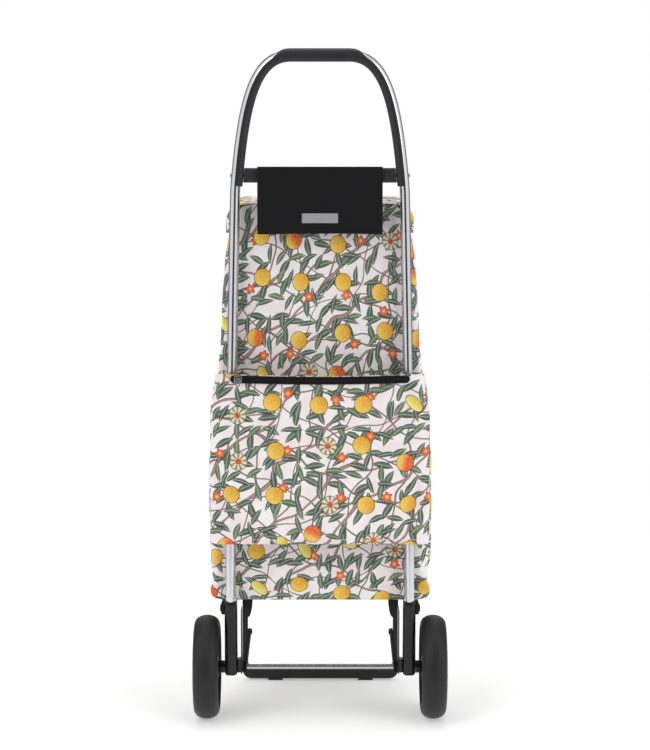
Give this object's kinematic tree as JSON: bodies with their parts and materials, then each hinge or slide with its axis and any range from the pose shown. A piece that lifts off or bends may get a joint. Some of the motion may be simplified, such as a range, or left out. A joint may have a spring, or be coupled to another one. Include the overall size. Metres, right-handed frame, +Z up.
{
  "type": "shopping trolley",
  "caption": "Upright shopping trolley: arched oval-tube frame, folding front stand, two wheels on one axle, lidded fabric bag with a zipped rear pocket.",
  "frame": {"origin": "on the floor, under the middle of the whole trolley", "axes": "+Z up, +Y from the user towards the bag's front, +X to the right as seen from the user"},
  "size_m": [0.4026, 0.3286, 1.059],
  "materials": {
    "aluminium": "satin drawn",
    "steel": "zinc plated",
    "grip": "soft matt",
    "black_plastic": "moulded, half gloss",
    "black_steel": "powder coated",
    "tyre": "matt",
    "pad_rubber": "matt",
    "printed_cloth": "woven polyester printed with leaves, flowers and fruit",
    "black_cloth": "plain weave",
    "label": "blank woven label",
    "board": "ribbed sheet"
  },
  "bodies": {
    "frame": {"frame_tube": "aluminium", "handle_grip": "grip", "handle_top_cover": "grip", "handle_crossbar": "black_plastic", "crossbar_screw_left": "steel", "crossbar_screw_right": "steel", "axle_bracket_left": "black_plastic", "axle_bracket_right": "black_plastic", "axle_rod": "steel", "axle_spacer_left": "black_plastic", "axle_spacer_right": "black_plastic", "platform_pivot_pin_left": "steel", "platform_pivot_pin_right": "steel", "bag_body": "printed_cloth", "rear_pocket": "printed_cloth", "pocket_zip_tape": "black_cloth", "hanger_strap": "black_cloth"},
    "wheel_left": {"wheel_rim_left": "black_plastic", "tyre_left": "tyre", "wheel_bush_left": "black_plastic", "wheel_cap_left": "black_plastic"},
    "wheel_right": {"wheel_rim_right": "black_plastic", "tyre_right": "tyre", "wheel_bush_right": "black_plastic", "wheel_cap_right": "black_plastic"},
    "platform": {"platform_frame": "black_steel", "platform_slat_1": "black_steel", "platform_slat_2": "black_steel", "platform_slat_3": "black_steel", "bag_base_board": "board", "stand_pivot_pin_left": "steel", "stand_pivot_pin_right": "steel"},
    "stand_leg": {"stand_foot": "black_plastic", "foot_pad_left": "pad_rubber", "foot_pad_right": "pad_rubber", "link_pin_left": "steel", "link_pin_right": "steel"},
    "link_left": {"lower_link_left": "black_plastic"},
    "link_right": {"lower_link_right": "black_plastic"},
    "lid": {"bag_lid": "printed_cloth"},
    "flap": {"hanger_flap": "black_cloth", "flap_label": "label"},
    "slider": {"zip_slider": "steel"},
    "pull": {"zip_pull": "steel"}
  },
  "joints": [
    {"name": "wheel_left_spin", "type": "hinge", "parent": "frame", "child": "wheel_left", "pos_m": [-0.18, -0.08175, 0.0825], "axis": [1, 0, 0], "continuous": true},
    {"name": "wheel_right_spin", "type": "hinge", "parent": "frame", "child": "wheel_right", "pos_m": [0.18, -0.08175, 0.0825], "axis": [1, 0, 0], "continuous": true},
    {"name": "stand_fold", "type": "hinge", "parent": "frame", "child": "platform", "pos_m": [0, -0.08175, 0.178], "axis": [1, 0, 0], "range_deg": [0, 70], "deforming": ["bag_body"]},
    {"name": "leg_fold", "type": "hinge", "parent": "platform", "child": "stand_leg", "pos_m": [0, 0.14325, 0.178], "axis": [1, 0, 0], "range_deg": [-70, 0]},
    {"name": "link_left_fold", "type": "hinge", "parent": "frame", "child": "link_left", "pos_m": [-0.12, -0.08175, 0.0825], "axis": [1, 0, 0], "range_deg": [0, 70]},
    {"name": "link_right_fold", "type": "hinge", "parent": "frame", "child": "link_right", "pos_m": [0.12, -0.08175, 0.0825], "axis": [1, 0, 0], "range_deg": [0, 70]},
    {"name": "lid_open", "type": "hinge", "parent": "frame", "child": "lid", "pos_m": [0, -0.06415, 0.82], "axis": [1, 0, 0], "range_deg": [0, 85]},
    {"name": "flap_lift", "type": "hinge", "parent": "frame", "child": "flap", "pos_m": [0, -0.09315, 0.877], "axis": [-1, 0, 0], "range_deg": [0, 120]},
    {"name": "zip_slide", "type": "slide", "parent": "frame", "child": "slider", "axis": [1, 0, 0], "range_m": [0, 0.255]},
    {"name": "pull_swing", "type": "hinge", "parent": "slider", "child": "pull", "pos_m": [-0.1275, -0.11775, 0.551], "axis": [-1, 0, 0], "range_deg": [0, 150]}
  ],
  "couplings": [
    {"joint": "leg_fold", "follows": "stand_fold", "ratio": -1},
    {"joint": "link_left_fold", "follows": "stand_fold", "ratio": 1},
    {"joint": "link_right_fold", "follows": "stand_fold", "ratio": 1}
  ]
}
